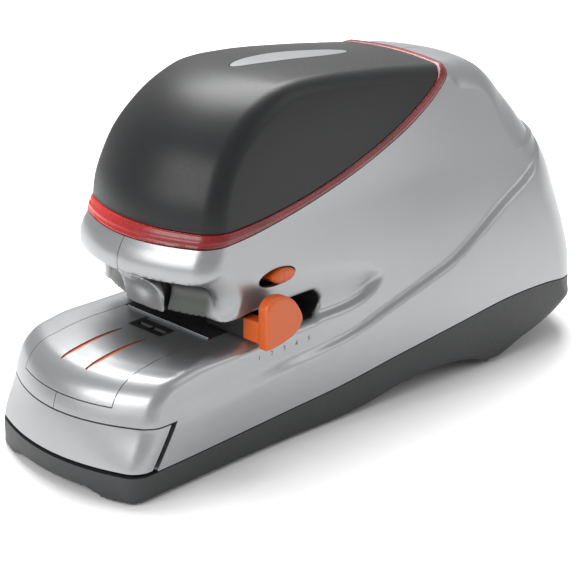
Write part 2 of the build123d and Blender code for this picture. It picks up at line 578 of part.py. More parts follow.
# ---------------------------------------------------------------- feet and screws
FEET = [(-24, -98), (24, -98), (-33, 62.5), (33, 62.5)]
parts["rubber_feet"] = Compound(children=[rod_z(x, y, 5.0, -LIFT, 0) for x, y in FEET])
screws = []
for x, y in ((-30, -60), (30, -60), (-33, 62), (33, 62)):
    screw = rod_z(x, y, 3.2, 1.0, 3.0) + rod_z(x, y, 1.5, 3.0, 14)
    screws.append(screw)
    parts["base_tray"] -= screw + rod_z(x, y, 3.2, -1, 1.0)
parts["base_tray"] = solid_of(parts["base_tray"])
parts["base_screws"] = Compound(children=screws)

# ---------------------------------------------------------------- export
for name, shape in parts.items():
    pieces = [Pos(0, 0, LIFT) * solid for solid in shape.solids()]
    placed = pieces[0] if len(pieces) == 1 else Compound(children=pieces)
    export_step(placed, f"parts/{name}.step")
    print(name, len(pieces), round(placed.volume), placed.is_valid)
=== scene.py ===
"""Looks of the electric desk stapler: moulded shells, prints, materials, floor, light and camera.

Forms are worked out in millimetres as signed distances (negative inside), meshed, and cut into the
real pieces along their joint lines. +Y points to the rear and +X to the side of the depth guide.
"""
import bmesh
import bpy
import json
import math
import numpy as np
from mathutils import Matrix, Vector

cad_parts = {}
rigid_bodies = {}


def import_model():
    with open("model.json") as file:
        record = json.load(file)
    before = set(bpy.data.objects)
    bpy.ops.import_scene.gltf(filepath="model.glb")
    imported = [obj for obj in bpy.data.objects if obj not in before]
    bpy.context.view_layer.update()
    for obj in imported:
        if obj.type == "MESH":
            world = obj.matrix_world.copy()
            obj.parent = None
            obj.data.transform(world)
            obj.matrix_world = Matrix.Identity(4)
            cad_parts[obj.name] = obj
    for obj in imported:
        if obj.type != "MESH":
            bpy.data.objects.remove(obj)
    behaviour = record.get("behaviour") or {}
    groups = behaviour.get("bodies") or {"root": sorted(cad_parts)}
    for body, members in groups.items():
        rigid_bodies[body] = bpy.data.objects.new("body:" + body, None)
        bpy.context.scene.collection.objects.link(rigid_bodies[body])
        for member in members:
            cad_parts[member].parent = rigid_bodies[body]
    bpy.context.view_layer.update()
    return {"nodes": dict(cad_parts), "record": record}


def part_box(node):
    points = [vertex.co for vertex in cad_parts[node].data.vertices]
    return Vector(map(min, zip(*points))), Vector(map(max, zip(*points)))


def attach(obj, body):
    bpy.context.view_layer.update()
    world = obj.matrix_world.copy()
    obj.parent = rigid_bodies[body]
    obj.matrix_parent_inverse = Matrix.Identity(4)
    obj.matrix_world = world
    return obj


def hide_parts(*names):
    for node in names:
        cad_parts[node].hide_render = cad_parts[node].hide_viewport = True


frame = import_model()
nodes = frame["nodes"]

MM = 0.001
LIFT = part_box("base_tray")[0].z / MM      # the base stands on rubber feet of this height

# ------------------------------------------------------------------ driving sizes, in millimetres
CELL_FORM = 0.85
CELL_FINE = 0.5
WALL = 2.2                 # thickness of the moulded covers
SEAM = 0.24                # half of the gap between two covers
FRONT_BOW, FOOT_BOW, BOW_HALF = 0.0092, 0.0062, 38.0
REAR_BOW, REAR_BOW_TOP = 0.0095, 0.0065
CROWN = 0.0026
TABLE_Z, THROAT_TOP, THROAT_END = 41.8, 52.0, -31.0
TABLE_X = 22.0             # half width of the table plate
TABLE_FRONT_Z = 31.2       # where the plate ends on the nose of the jaw
GUIDE_X = 6.5              # half the crown of a staple
BUTTON_Y, BUTTON_HALF = -8.0, (5.6, 29.0)
TAB_X, TAB_FRONT = (38.3, 43.4), -62.2
SWITCH_Y, SWITCH_Z = -48.5, 62.4
SWITCH_HOLE = (8.9, 3.2)   # half length and half height
KNOB_HALF = (5.6, 2.5)
KNOB_SHIFT = 2.3           # the knob rests this far behind the middle of its hole
BUTTON_UNDERSIDE = 120.8   # leaves room above the spring for the 2 mm press
BUTTON_GAP = 0.4
CHIN_DEPTH = 4.6           # recess under the bulge, beside the magazine's nose
JACK_X, JACK_Z, JACK_HALF = -18.0, 30.0, 5.6
NOSE_X = (-9.8, 10.4)      # the magazine's nose, and the radius of its upper right corner
NOSE_RADIUS = 7.8
NOSE_LOW = 50.2
STOP_Y, STOP_Z, STOP_HALF = -59.3, 46.4, (34.4, 2.5, 4.0)
SCALE_Y, SCALE_Z, SCALE_SIZE = (-59.0, -53.0, -46.8, -40.8, -34.6), 35.6, 2.9
LIP_X, LIP_Y, LIP_Z = 1.0, -69.7, 42.0
LIP_HALF = (21.0, 0.45, 0.55)

# side view of the skin at the centre: corner radius towards the side walls, then the stretch
OUTLINE = [
    (1.5, [(-124, 0), (-24, 0)]),
    (1.5, [(-24, 0), (-8, 1.2), (12, 5.0), (30, 6.4), (46, 4.4), (57, 0)]),
    (1.5, [(57, 0), (68, 0)]),
    (4.0, [(68, 0), (95, 4.5), (115, 10.5), (124.5, 15.5)]),
    (9.0, [(124.5, 15.5), (124, 30), (121.6, 43), (118.5, 58), (115.5, 70), (109, 81), (101, 90.5),
           (93.5, 98.5), (84, 107), (73, 112.8), (62, 115.8), (50, 117.4)]),
    (5.0, [(50, 117.4), (30, 120.8), (8, 124.2), (-19, 127.4), (-33, 128.0), (-44, 127.2),
           (-56, 123.6), (-66, 117.6), (-74.5, 109.5), (-80.5, 99), (-83.5, 91), (-84.5, 84.5)]),
    (5.5, [(-84.5, 84.5), (-87, 79), (-89.6, 75), (-90.8, 71.5), (-90.5, 67)]),
    (7.0, [(-90.5, 67), (-86.5, 64.8), (-82.5, 60.5), (-80.8, 55), (-80, 51)]),
    (1.2, [(-80, 51), (-70, THROAT_TOP)]),
    (1.2, [(-70, THROAT_TOP), (THROAT_END, THROAT_TOP)]),
    (1.2, [(THROAT_END, THROAT_TOP), (THROAT_END + 5.1, 46.9), (THROAT_END, TABLE_Z)]),
    (1.6, [(THROAT_END, TABLE_Z), (-85, TABLE_Z)]),
    (3.2, [(-85, TABLE_Z), (-104, 40.6), (-112, 38.8), (-117, 35), (-119.6, 30), (-121, 25.5)]),
    (4.5, [(-121, 25.5), (-124, 9.5), (-124, 0)]),
]
WIDTH_Y = [-150, -95, -45, 0, 40, 75, 110, 150]
WIDTHS = {
    -6: [35.5, 35.5, 35.7, 38.5, 42.5, 44.5, 44.5, 44],
    24: [37.4, 37.4, 37.6, 40.2, 44.2, 46.2, 46.2, 46],
    58: [35.6, 35.6, 36.2, 38.0, 41.0, 42.6, 42.6, 42],
    84: [33.6, 33.6, 33.6, 34.0, 35.4, 36.4, 35.6, 35],
    112: [30.2, 30.2, 30.2, 29.4, 28.2, 27.2, 26.0, 25],
    140: [26.6, 26.6, 26.6, 24.8, 21.0, 18.0, 16.4, 15],
}
BASE_LINE = [(-150, 9.5), (-85, 10.2), (-45, 11.8), (-20, 13.6), (10, 18), (40, 22.5), (65, 25.4),
             (88, 25.2), (108, 22.6), (150, 17)]
BAND_LOW = [(-150, 78.8), (-85, 78.8), (-60, 79.8), (-26, 84.9), (6.7, 94.0), (28, 102.6),
            (40, 109.2), (47, 114.6), (51.4, 121), (54, 136)]
BAND_HIGH = [(-150, 83.8), (-85, 83.8), (-62, 83.6), (-28, 87.6), (4.7, 96.6), (26, 105.2),
             (37.6, 111.4), (44.2, 116.6), (48.6, 122), (51, 136)]
# shoulder of the lower skirt, which stands proud of the wall above it
LEDGE = [(-125, 25.6), (-100, 26.6), (-75, 27.8), (-48, 29.5), (-32, 30.2), (-15, 32.0), (5, 37.5),
         (23, 43), (37, 47.5), (50, 54), (64, 61.5), (82, 69.5), (93, 76), (150, 84)]
# soft upper edge and firm lower edge of the scoop round the paper gap
SCOOP_TOP = [(-100, 68), (-62, 66.5), (-39.7, 63.9), (-24, 61.7), (-3.6, 55.1), (1.8, 51.2), (6, 46)]
SCOOP_LOW = [(-100, 41.8), (-24, 41.8), (-18, 41.9), (-6.5, 43.9), (1.9, 49.3), (6, 55)]


# ------------------------------------------------------------------ curves and distances
def fade(t):
    """Smooth step from 0 to 1."""
    t = np.clip(t, 0.0, 1.0)
    return t * t * (3 - 2 * t)


def smooth_curve(points, step=0.7):
    """Points along a smooth curve through the given ones."""
    p = np.array(points, dtype=float)
    if len(p) == 2:
        return p
    t = np.concatenate([[0], np.cumsum(np.linalg.norm(np.diff(p, axis=0), axis=1))])
    slope = np.gradient(p, t, axis=0, edge_order=2)
    out = []
    for i in range(len(p) - 1):
        span = t[i + 1] - t[i]
        u = np.arange(0, 1, min(0.5, step / span))[:, None]
        out.append(p[i] * (2 * u**3 - 3 * u**2 + 1) + slope[i] * span * (u**3 - 2 * u**2 + u)
                   + p[i + 1] * (3 * u**2 - 2 * u**3) + slope[i + 1] * span * (u**3 - u**2))
    out.append(p[-1:])
    return np.concatenate(out)


def height_at(line, y):
    """Height of a joint line over y."""
    curve = smooth_curve(line, 2.0)
    return np.interp(y, curve[:, 0], curve[:, 1])


def polygon_distance(loop, y, z, tags=None):
    """Signed distance to a closed outline, and the tag of the nearest segment."""
    best = np.full(y.shape, 1e9)
    tag = np.zeros(y.shape)
    inside = np.zeros(y.shape, dtype=bool)
    for i in range(len(loop)):
        (ay, az), (by, bz) = loop[i - 1], loop[i]
        ey, ez = by - ay, bz - az
        t = np.clip(((y - ay) * ey + (z - az) * ez) / max(ey * ey + ez * ez, 1e-9), 0, 1)
        d = (y - ay - t * ey) ** 2 + (z - az - t * ez) ** 2
        nearer = d < best
        best = np.where(nearer, d, best)
        if tags is not None:
            tag[nearer] = tags[i]
        crosses = (az > z) != (bz > z)
        if bz != az:
            inside ^= crosses & (y < ay + (z - az) * ey / ez)
    distance = np.sqrt(best)
    return np.where(inside, -distance, distance), tag


class SideMap:
    """Values over the side view, looked up between grid points."""

    def __init__(self, y0, y1, z0, z1, step):
        self.y0, self.z0, self.step = y0, z0, step
        self.y, self.z = np.meshgrid(
            np.arange(y0, y1 + step, step), np.arange(z0, z1 + step, step), indexing="ij")
        self.layers = {}

    def sample(self, name, y, z):
        """Bilinear value of a layer."""
        grid = self.layers[name]
        u = np.clip((y - self.y0) / self.step, 0, grid.shape[0] - 1.001)
        v = np.clip((z - self.z0) / self.step, 0, grid.shape[1] - 1.001)
        i, j = u.astype(int), v.astype(int)
        u, v = u - i, v - j
        return ((grid[i, j] * (1 - u) + grid[i + 1, j] * u) * (1 - v)
                + (grid[i, j + 1] * (1 - u) + grid[i + 1, j + 1] * u) * v)


def blurred(grid, times):
    """Box blur, repeated."""
    for _ in range(times):
        padded = np.pad(grid, 1, mode="edge")
        grid = (padded[:-2, 1:-1] + padded[2:, 1:-1] + padded[1:-1, :-2] + padded[1:-1, 2:]
                + padded[1:-1, 1:-1]) / 5
    return grid


def build_side_map():
    """Skin outline, corner radii and half widths over the side view."""
    side = SideMap(-132, 132, -8, 136, 0.5)
    loop, tags = [], []
    for radius, points in OUTLINE:
        curve = smooth_curve(points)[:-1]
        loop.extend(curve)
        tags.extend([radius] * len(curve))
    skin, radius = polygon_distance(np.array(loop), side.y, side.z, tags)
    # the rear wall above the skirt sits further in
    skin += 1.7 * fade((side.z - height_at(LEDGE, side.y) + 0.6) / 1.2) * fade((side.y - 70) / 20)
    side.layers["skin"] = skin
    side.layers["radius"] = blurred(radius, 14)
    rows = np.array([np.interp(side.y[:, 0], *smooth_curve(list(zip(WIDTH_Y, w)), 3.0).T)
                     for w in WIDTHS.values()])
    heights = np.array(list(WIDTHS))
    width = np.empty_like(side.y)
    slope = np.gradient(rows, heights, axis=0, edge_order=2)
    for k in range(len(heights) - 1):
        span = heights[k + 1] - heights[k]
        in_row = (side.z >= heights[k]) & (side.z <= heights[k + 1]) | ((k == 0) & (side.z < heights[0]))
        u = (side.z - heights[k]) / span
        h = (rows[k][:, None] * (2 * u**3 - 3 * u**2 + 1) + slope[k][:, None] * span * (u**3 - 2 * u**2 + u)
             + rows[k + 1][:, None] * (3 * u**2 - 2 * u**3) + slope[k + 1][:, None] * span * (u**3 - u**2))
        width[in_row] = h[in_row]
    ahead = fade((-20 - side.y) / 60)
    softness = 1.3 + 3.2 * ahead
    above = fade((side.z - height_at(LEDGE, side.y) + softness) / (2 * softness))
    width -= above * (2.0 - 1.3 * ahead) * fade((118 - side.z) / 40)
    top, low = height_at(SCOOP_TOP, side.y), height_at(SCOOP_LOW, side.y)
    depth = np.clip((top - side.z) / np.maximum(top - low, 0.5), 0, 1)
    scoop = 2.8 * fade(depth) * fade((side.z - low + 1.0) / 1.8)
    scoop *= fade((3.5 - side.y) / 7) * fade((side.y + 92) / 16) * (top > low)
    width -= blurred(scoop, 4)
    side.layers["width"] = width
    return side


SIDE = build_side_map()


def flattened(x, y, z):
    """Undoes the bow of the front and rear and the crown of the roof."""
    across = np.minimum(np.abs(x), BOW_HALF) ** 2
    rate = FOOT_BOW + (FRONT_BOW - FOOT_BOW) * fade((z - 8) / 18)
    z0 = z + CROWN * x * x * fade((z - 88) / 30)
    rear_rate = REAR_BOW + REAR_BOW_TOP * fade((z0 - 30) / 60)
    y0 = y
    for _ in range(3):
        y0 = y - rate * across * fade((-25 - y0) / 30) + rear_rate * x * x * fade((y0 - 50) / 45)
    return y0, z0


def round_max(a, b, radius):
    """Intersection of two distances with a rounded edge."""
    outside = np.hypot(np.maximum(a + radius, 0), np.maximum(b + radius, 0))
    return np.minimum(np.maximum(a, b) + radius, 0) + outside - radius


def skin_field(x, y, z, chin=CHIN_DEPTH):
    """Distance to the outer skin of the whole stapler, with its chin set back."""
    y0, z0 = flattened(x, y, z)
    profile = SIDE.sample("skin", y0, z0)
    if chin:
        profile = profile + (chin * fade((31.0 - np.abs(x)) / 6.5) * fade((67.2 - z) / 3.0)
                             * fade((-64 - y) / 8) * fade((z - 48.5) / 13))
    # the foot of the front is lifted a little between its corners
    arch = 2.4 * fade((25 - np.abs(x)) / 8) * fade((-100 - y0) / 12)
    profile = np.maximum(profile, np.where(z < 12, arch - z, -50))
    wall = np.abs(x) - SIDE.sample("width", y, z)
    return round_max(wall, profile, SIDE.sample("radius", y0, z0))


# ------------------------------------------------------------------ meshing
def surface_net(field, low, high, cell, symmetric=False):
    """Vertices and quads where a distance field is zero, drawn onto the exact surface."""
    axes = [lo + cell * np.arange(int(math.ceil((hi - lo) / cell)) + 1) for lo, hi in zip(low, high)]
    yy, zz = np.meshgrid(axes[1], axes[2], indexing="ij")
    if symmetric:
        reach = len(axes[0]) - 1
        axes[0] = cell * np.arange(-reach, reach + 1)
        half = [field(x, yy, zz) for x in axes[0][reach:]]
        values = np.stack(half[:0:-1] + half)
    else:
        values = np.stack([field(x, yy, zz) for x in axes[0]])
    values[np.abs(values) < 1e-6] = 1e-6
    inside = values < 0
    shape = tuple(n - 1 for n in values.shape)
    total = np.zeros(shape + (3,))
    count = np.zeros(shape)
    corner = [(a, b, c) for a in (0, 1) for b in (0, 1) for c in (0, 1)]

    def part(array, offset):
        return array[tuple(slice(o, o + n) for o, n in zip(offset, shape))]

    for start in corner:
        for axis in range(3):
            if start[axis]:
                continue
            end = tuple(o + (k == axis) for k, o in enumerate(start))
            a, b = part(values, start), part(values, end)
            cut = part(inside, start) != part(inside, end)
            t = np.where(cut, a / np.where(cut, a - b, 1), 0)
            for k in range(3):
                total[..., k] += np.where(cut, start[k] + (t if k == axis else 0), 0)
            count += cut
    used = count > 0
    index = np.full(shape, -1)
    index[used] = np.arange(used.sum())
    grid = np.stack(np.nonzero(used), axis=1)
    points = np.array([a[0] for a in axes]) + cell * (grid + total[used] / count[used][:, None])
    quads = []
    for axis in range(3):
        u, v = (axis + 1) % 3, (axis + 2) % 3
        a = inside[tuple(slice(0, -1) if k == axis else slice(1, -1) for k in range(3))]
        b = inside[tuple(slice(1, None) if k == axis else slice(1, -1) for k in range(3))]
        where = np.stack(np.nonzero(a != b), axis=1)
        leaving = a[a != b]
        base = where.copy()
        base[:, u] += 1
        base[:, v] += 1
        ring = []
        for du, dv in ((0, 0), (-1, 0), (-1, -1), (0, -1)):
            spot = base.copy()
            spot[:, u] += du
            spot[:, v] += dv
            ring.append(index[spot[:, 0], spot[:, 1], spot[:, 2]])
        ring = np.stack(ring, axis=1)
        quads.append(np.where(leaving[:, None], ring, ring[:, ::-1]))
    quads = np.concatenate(quads)
    for _ in range(2):
        points = drawn_to(field, points, 0.4 * cell)
    return points, quads


def drawn_to(field, points, limit):
    """Moves points along the field's slope onto its zero surface."""
    h = 0.05
    value = field(*points.T)
    slope = np.empty_like(points)
    for k in range(3):
        step = np.zeros(3)
        step[k] = h
        slope[:, k] = (field(*(points + step).T) - field(*(points - step).T)) / (2 * h)
    size = np.maximum((slope ** 2).sum(1), 0.1)
    move = -(value / size)[:, None] * slope
    length = np.maximum(np.linalg.norm(move, axis=1), 1e-9)
    return points + move * np.minimum(1, limit / length)[:, None]


def mesh_object(name, points, faces):
    """Mesh object from points in millimetres above the base's underside."""
    mesh = bpy.data.meshes.new(name)
    placed = (np.asarray(points, dtype=float) + (0, 0, LIFT)) * MM
    mesh.from_pydata(placed.tolist(), [], [list(map(int, f)) for f in faces])
    mesh.validate()
    obj = bpy.data.objects.new(name, mesh)
    bpy.context.scene.collection.objects.link(obj)
    return obj


def solid(name, field, low, high, cell, symmetric=False):
    """Mesh object of a distance field."""
    return mesh_object(name, *surface_net(field, low, high, cell, symmetric))


def prism(outline, a0, a1, axis="x"):
    """Cutter: an outline in the plane across an axis, given length along it."""
    outline = np.array(outline, dtype=float)
    count = len(outline)
    turn = np.roll(outline, -1, axis=0)
    if (outline[:, 0] * turn[:, 1] - turn[:, 0] * outline[:, 1]).sum() < 0:
        outline = outline[::-1]
    rings = []
    for a in (a0, a1):
        along = np.full((count, 1), a)
        if axis == "x":
            rings.append(np.hstack([along, outline]))
        elif axis == "z":
            rings.append(np.hstack([outline, along]))
        else:
            rings.append(np.hstack([outline[:, :1], along, outline[:, 1:]]))
    faces = [[i, (i + 1) % count, count + (i + 1) % count, count + i] for i in range(count)]
    faces += [list(range(count))[::-1], list(range(count, 2 * count))]
    if axis == "y":
        faces = [f[::-1] for f in faces]
    return mesh_object("cutter", np.concatenate(rings), faces)


def slab(x0, x1, y0, y1, z0, z1):
    """Cutter: a box."""
    return prism([(y0, z0), (y1, z0), (y1, z1), (y0, z1)], x0, x1)


def ellipse(centre, half, count=72):
    """Outline of an ellipse."""
    turn = np.arange(count) * 2 * math.pi / count
    return [(centre[0] + half[0] * math.cos(t), centre[1] + half[1] * math.sin(t)) for t in turn]


def carved(name, source, steps):
    """A copy of source after boolean steps, each (operation, cutter)."""
    obj = source.copy()
    obj.data = source.data.copy()
    obj.name = name
    obj.data.name = name
    bpy.context.scene.collection.objects.link(obj)
    for operation, cutter in steps:
        modifier = obj.modifiers.new("cut", "BOOLEAN")
        modifier.operation = operation
        modifier.object = cutter
        modifier.solver = "MANIFOLD"
        bpy.context.view_layer.update()
        depsgraph = bpy.context.evaluated_depsgraph_get()
        result = bpy.data.meshes.new_from_object(obj.evaluated_get(depsgraph))
        obj.modifiers.clear()
        obj.data = result
    obj.data.name = name
    return obj


def keep_biggest(obj):
    """Deletes loose crumbs, keeping the largest connected shell."""
    bm = bmesh.new()
    bm.from_mesh(obj.data)
    bm.verts.ensure_lookup_table()
    seen = np.zeros(len(bm.verts), dtype=bool)
    groups = []
    for v in bm.verts:
        if seen[v.index]:
            continue
        stack, group = [v], []
        seen[v.index] = True
        while stack:
            w = stack.pop()
            group.append(w)
            for e in w.link_edges:
                o = e.other_vert(w)
                if not seen[o.index]:
                    seen[o.index] = True
                    stack.append(o)
        groups.append(group)
    groups.sort(key=len, reverse=True)
    for group in groups[1:]:
        bmesh.ops.delete(bm, geom=group, context="VERTS")
    bm.to_mesh(obj.data)
    bm.free()


def finished(obj, body, materials, replaced=(), angle=32):
    """Shades a piece smoothly, gives it its materials and ties it to its body."""
    obj.data.polygons.foreach_set("use_smooth", [True] * len(obj.data.polygons))
    obj.data.set_sharp_from_angle(angle=math.radians(angle))
    obj.data.materials.clear()
    for material in materials:
        obj.data.materials.append(material)
    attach(obj, body)
    if replaced:
        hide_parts(*replaced)
    return obj


# ------------------------------------------------------------------ materials
def new_material(name, color, roughness, metallic=0.0, coat=0.0, ior=1.5, grain=0.3, grain_size=700.0,
                 rough_spread=0.06, mottle=0.06, mottle_size=22.0, stretch=(1, 1, 1), relief=0.00002,
                 coat_roughness=0.1):
    """Principled material whose colour, roughness and relief vary over the surface."""
    material = bpy.data.materials.new(name)
    material.use_nodes = True
    tree = material.node_tree
    shader = tree.nodes["Principled BSDF"]
    shader.inputs["Metallic"].default_value = metallic
    shader.inputs["IOR"].default_value = ior
    shader.inputs["Coat Weight"].default_value = coat
    shader.inputs["Coat Roughness"].default_value = coat_roughness
    place = tree.nodes.new("ShaderNodeTexCoord")
    scale = tree.nodes.new("ShaderNodeMapping")
    scale.inputs["Scale"].default_value = stretch
    tree.links.new(place.outputs["Object"], scale.inputs["Vector"])

    def noise(size, detail):
        node = tree.nodes.new("ShaderNodeTexNoise")
        node.inputs["Scale"].default_value = size
        node.inputs["Detail"].default_value = detail
        tree.links.new(scale.outputs["Vector"], node.inputs["Vector"])
        return node.outputs["Fac"]

    fine, broad = noise(grain_size, 3.0), noise(mottle_size, 4.0)
    tint = tree.nodes.new("ShaderNodeMapRange")
    tint.inputs["From Min"].default_value = 0.3
    tint.inputs["From Max"].default_value = 0.7
    tree.links.new(broad, tint.inputs["Value"])
    shade = tree.nodes.new("ShaderNodeMix")
    shade.data_type = "RGBA"
    shade.inputs["A"].default_value = tuple(c * (1 - mottle) for c in color) + (1,)
    shade.inputs["B"].default_value = tuple(min(1, c * (1 + mottle)) for c in color) + (1,)
    tree.links.new(tint.outputs["Result"], shade.inputs["Factor"])
    tree.links.new(shade.outputs["Result"], shader.inputs["Base Color"])
    rough = tree.nodes.new("ShaderNodeMapRange")
    rough.inputs["From Min"].default_value = 0.3
    rough.inputs["From Max"].default_value = 0.7
    rough.inputs["To Min"].default_value = roughness - rough_spread
    rough.inputs["To Max"].default_value = roughness + rough_spread
    tree.links.new(fine, rough.inputs["Value"])
    tree.links.new(rough.outputs["Result"], shader.inputs["Roughness"])
    bump = tree.nodes.new("ShaderNodeBump")
    bump.inputs["Strength"].default_value = grain
    bump.inputs["Distance"].default_value = relief
    tree.links.new(fine, bump.inputs["Height"])
    tree.links.new(bump.outputs["Normal"], shader.inputs["Normal"])
    return material


SILVER = new_material("silver_lacquer", (0.325, 0.33, 0.338), 0.35, metallic=0.82, coat=0.12, grain=0.35,
                      grain_size=1500, rough_spread=0.05, mottle=0.02, relief=0.00001)
CHARCOAL = new_material("charcoal_cover", (0.0085, 0.009, 0.010), 0.40, coat=0.0, ior=1.38, grain=0.5,
                        grain_size=1400, rough_spread=0.04, mottle=0.08, relief=0.00002)
BASE_GREY = new_material("base_plastic", (0.024, 0.025, 0.0265), 0.52, grain=0.9, grain_size=1100,
                         rough_spread=0.06, mottle=0.08, relief=0.00004)
ORANGE = new_material("orange_plastic", (0.52, 0.085, 0.008), 0.42, coat=0.05, grain=0.25, grain_size=900,
                      mottle=0.04, relief=0.00002)
BLACK = new_material("black_plastic", (0.012, 0.012, 0.013), 0.45, grain=0.6, grain_size=900, mottle=0.2,
                     relief=0.00003)
INK = new_material("printed_ink", (0.05, 0.05, 0.055), 0.5, grain=0.2, grain_size=2500, mottle=0.1)
STEEL = new_material("zinc_plate", (0.55, 0.56, 0.58), 0.32, metallic=1.0, grain=0.3, grain_size=260,
                     stretch=(1, 1, 6), mottle=0.06)
HARD_STEEL = new_material("ground_steel", (0.42, 0.43, 0.45), 0.26, metallic=1.0, grain=0.25,
                          grain_size=300, stretch=(8, 1, 1), mottle=0.05)
BRASS = new_material("bearing_bronze", (0.62, 0.42, 0.16), 0.35, metallic=1.0, grain=0.4, mottle=0.12)
ACETAL = new_material("white_acetal", (0.78, 0.77, 0.73), 0.42, coat=0.1, grain=0.15, mottle=0.03)
GREY_PLASTIC = new_material("grey_plastic", (0.22, 0.225, 0.235), 0.45, grain=0.5, mottle=0.06)
BOARD = new_material("circuit_board", (0.02, 0.16, 0.06), 0.35, coat=0.4, grain=0.3, grain_size=120,
                     mottle=0.35, mottle_size=160, stretch=(1, 1, 1))
RUBBER = new_material("black_rubber", (0.02, 0.02, 0.021), 0.75, grain=0.8, grain_size=600, mottle=0.15,
                      relief=0.00006)
# painted shade: this darkened steel stands for the shadow that falls on the anvil under the chin
ANVIL_SHADE_STEEL = new_material("anvil_steel_painted_shade", (0.07, 0.07, 0.074), 0.45, metallic=1.0, grain=0.2,
                          grain_size=300, mottle=0.05)
LAMP = new_material("red_lamp", (0.8, 0.05, 0.02), 0.2, coat=0.6, grain=0.1, mottle=0.05)


def ramp(tree, source, low, high, value_low=0.0, value_high=1.0):
    """Smooth change of a value between two readings of another."""
    node = tree.nodes.new("ShaderNodeMapRange")
    node.interpolation_type = "SMOOTHSTEP"
    node.inputs["From Min"].default_value = low
    node.inputs["From Max"].default_value = high
    node.inputs["To Min"].default_value = value_low
    node.inputs["To Max"].default_value = value_high
    tree.links.new(source, node.inputs["Value"])
    return node.outputs["Result"]


def calculated(tree, operation, *values):
    """Result of a shader calculation."""
    node = tree.nodes.new("ShaderNodeMath")
    node.operation = operation
    for socket, value in zip(node.inputs, values):
        tree.links.new(value, socket)
    return node.outputs["Value"]


def object_axes(tree):
    """The three object coordinates, in metres."""
    place = tree.nodes.new("ShaderNodeTexCoord")
    axes = tree.nodes.new("ShaderNodeSeparateXYZ")
    tree.links.new(place.outputs["Object"], axes.inputs["Vector"])
    return axes.outputs


def shade_chin(material):
    """Paints shade into the lacquer in the recess under the bulge, which the plain studio light leaves too
    bright.
    """
    tree = material.node_tree
    shader = tree.nodes["Principled BSDF"]
    axes = object_axes(tree)
    across = ramp(tree, calculated(tree, "ABSOLUTE", axes["X"]), 0.0285, 0.024)
    low = ramp(tree, axes["Z"], 0.0682, 0.0650)
    ahead = ramp(tree, axes["Y"], -0.066, -0.072)
    above_gap = ramp(tree, axes["Z"], 0.046, 0.049)
    face = calculated(tree, "MULTIPLY", across, low)
    depth = calculated(tree, "MULTIPLY", ahead, above_gap)
    painted_shade_mask = calculated(tree, "MULTIPLY", face, depth)
    # painted shade: the recess under the bulge is mixed towards this darker grey
    shade = tree.nodes.new("ShaderNodeMix")
    shade.data_type = "RGBA"
    shade.inputs["B"].default_value = (0.075, 0.078, 0.075, 1)
    tree.links.new(painted_shade_mask, shade.inputs["Factor"])
    tree.links.new(shader.inputs["Base Color"].links[0].from_socket, shade.inputs["A"])
    tree.links.new(shade.outputs["Result"], shader.inputs["Base Color"])


def lens_material():
    """Translucent red band, its front brightened by painted light: a glow strongest towards the band's left
    end.
    """
    material = new_material("red_lens", (0.16, 0.001, 0.004), 0.3, coat=0.1, grain=0.15, mottle=0.25,
                            mottle_size=60, coat_roughness=0.06)
    tree = material.node_tree
    shader = tree.nodes["Principled BSDF"]
    shader.inputs["Transmission Weight"].default_value = 0.15
    axes = object_axes(tree)
    # painted light: the emitted glow covers the front of the band and grows towards its left end
    front = ramp(tree, axes["Y"], -0.05, -0.078)
    left = ramp(tree, axes["X"], 0.030, -0.03, 0.1, 0.75)
    painted_glow = calculated(tree, "MULTIPLY", front, left)
    lit = tree.nodes.new("ShaderNodeMix")
    lit.data_type = "RGBA"
    lit.inputs["A"].default_value = (0.30, 0.002, 0.004, 1)
    lit.inputs["B"].default_value = (0.75, 0.03, 0.007, 1)
    tree.links.new(painted_glow, lit.inputs["Factor"])
    tree.links.new(lit.outputs["Result"], shader.inputs["Emission Color"])
    tree.links.new(painted_glow, shader.inputs["Emission Strength"])
    return material


RED_LENS = lens_material()
# the housing's copy of the lacquer, with painted shade in the chin recess
HOUSING_SILVER_PAINTED_SHADE = SILVER.copy()
shade_chin(HOUSING_SILVER_PAINTED_SHADE)

SLOT_MATERIALS = {
    "silver_paint": SILVER, "black_cover": CHARCOAL, "base_grey": BASE_GREY, "red_lens": RED_LENS,
    "orange": ORANGE, "rubber": RUBBER, "steel": STEEL, "hard_steel": HARD_STEEL,
    "white_acetal": ACETAL, "dark_plastic": BLACK, "board": BOARD, "brass": BRASS,
    "grey_plastic": GREY_PLASTIC, "lamp": LAMP,
}
for part in frame["record"]["subparts"]:
    node = nodes[part["node"]]
    node.data.materials.clear()
    node.data.materials.append(SLOT_MATERIALS[part["material_slot"]])
    node.data.polygons.foreach_set("use_smooth", [True] * len(node.data.polygons))
    node.data.set_sharp_from_angle(angle=math.radians(30))

# ------------------------------------------------------------------ shells
FAR = 160.0
whole = solid("whole", skin_field, (0, -127, -1), (48.5, 127, 130), CELL_FORM, symmetric=True)
core = solid("core", lambda x, y, z: skin_field(x, y, z) + WALL, (0, -125, 0), (47, 125, 129),
             CELL_FORM * 1.5, symmetric=True)


def side_region(line, floor, shift):
    """Outline of everything between a joint line, moved up by shift, and a floor or ceiling."""
    curve = smooth_curve(line, 2.5)
    return [tuple(p) for p in curve + (0, shift)] + [(line[-1][0], floor), (line[0][0], floor)]


def corner_region(line, shift):
    """Outline of everything above a joint line that ends by rising through the roof."""
    curve = smooth_curve(line, 2.5)
    lean = np.linspace(0, 1, len(curve))[:, None] * np.array([[-shift, 0]])
    return [tuple(p) for p in curve + (0, shift) + lean] + [(-FAR, 140), (-FAR, line[0][1] + shift)]


below_base = prism(side_region(BASE_LINE, -20, -SEAM), -60, 60)
above_base = prism(side_region(BASE_LINE, 150, SEAM), -60, 60)
above_low_in = prism(corner_region(BAND_LOW, -SEAM), -60, 60)
above_high = prism(corner_region(BAND_HIGH, SEAM), -60, 60)
left_half, right_half = slab(-60, -0.13, -FAR, FAR, -20, 150), slab(0.13, 60, -FAR, FAR, -20, 150)

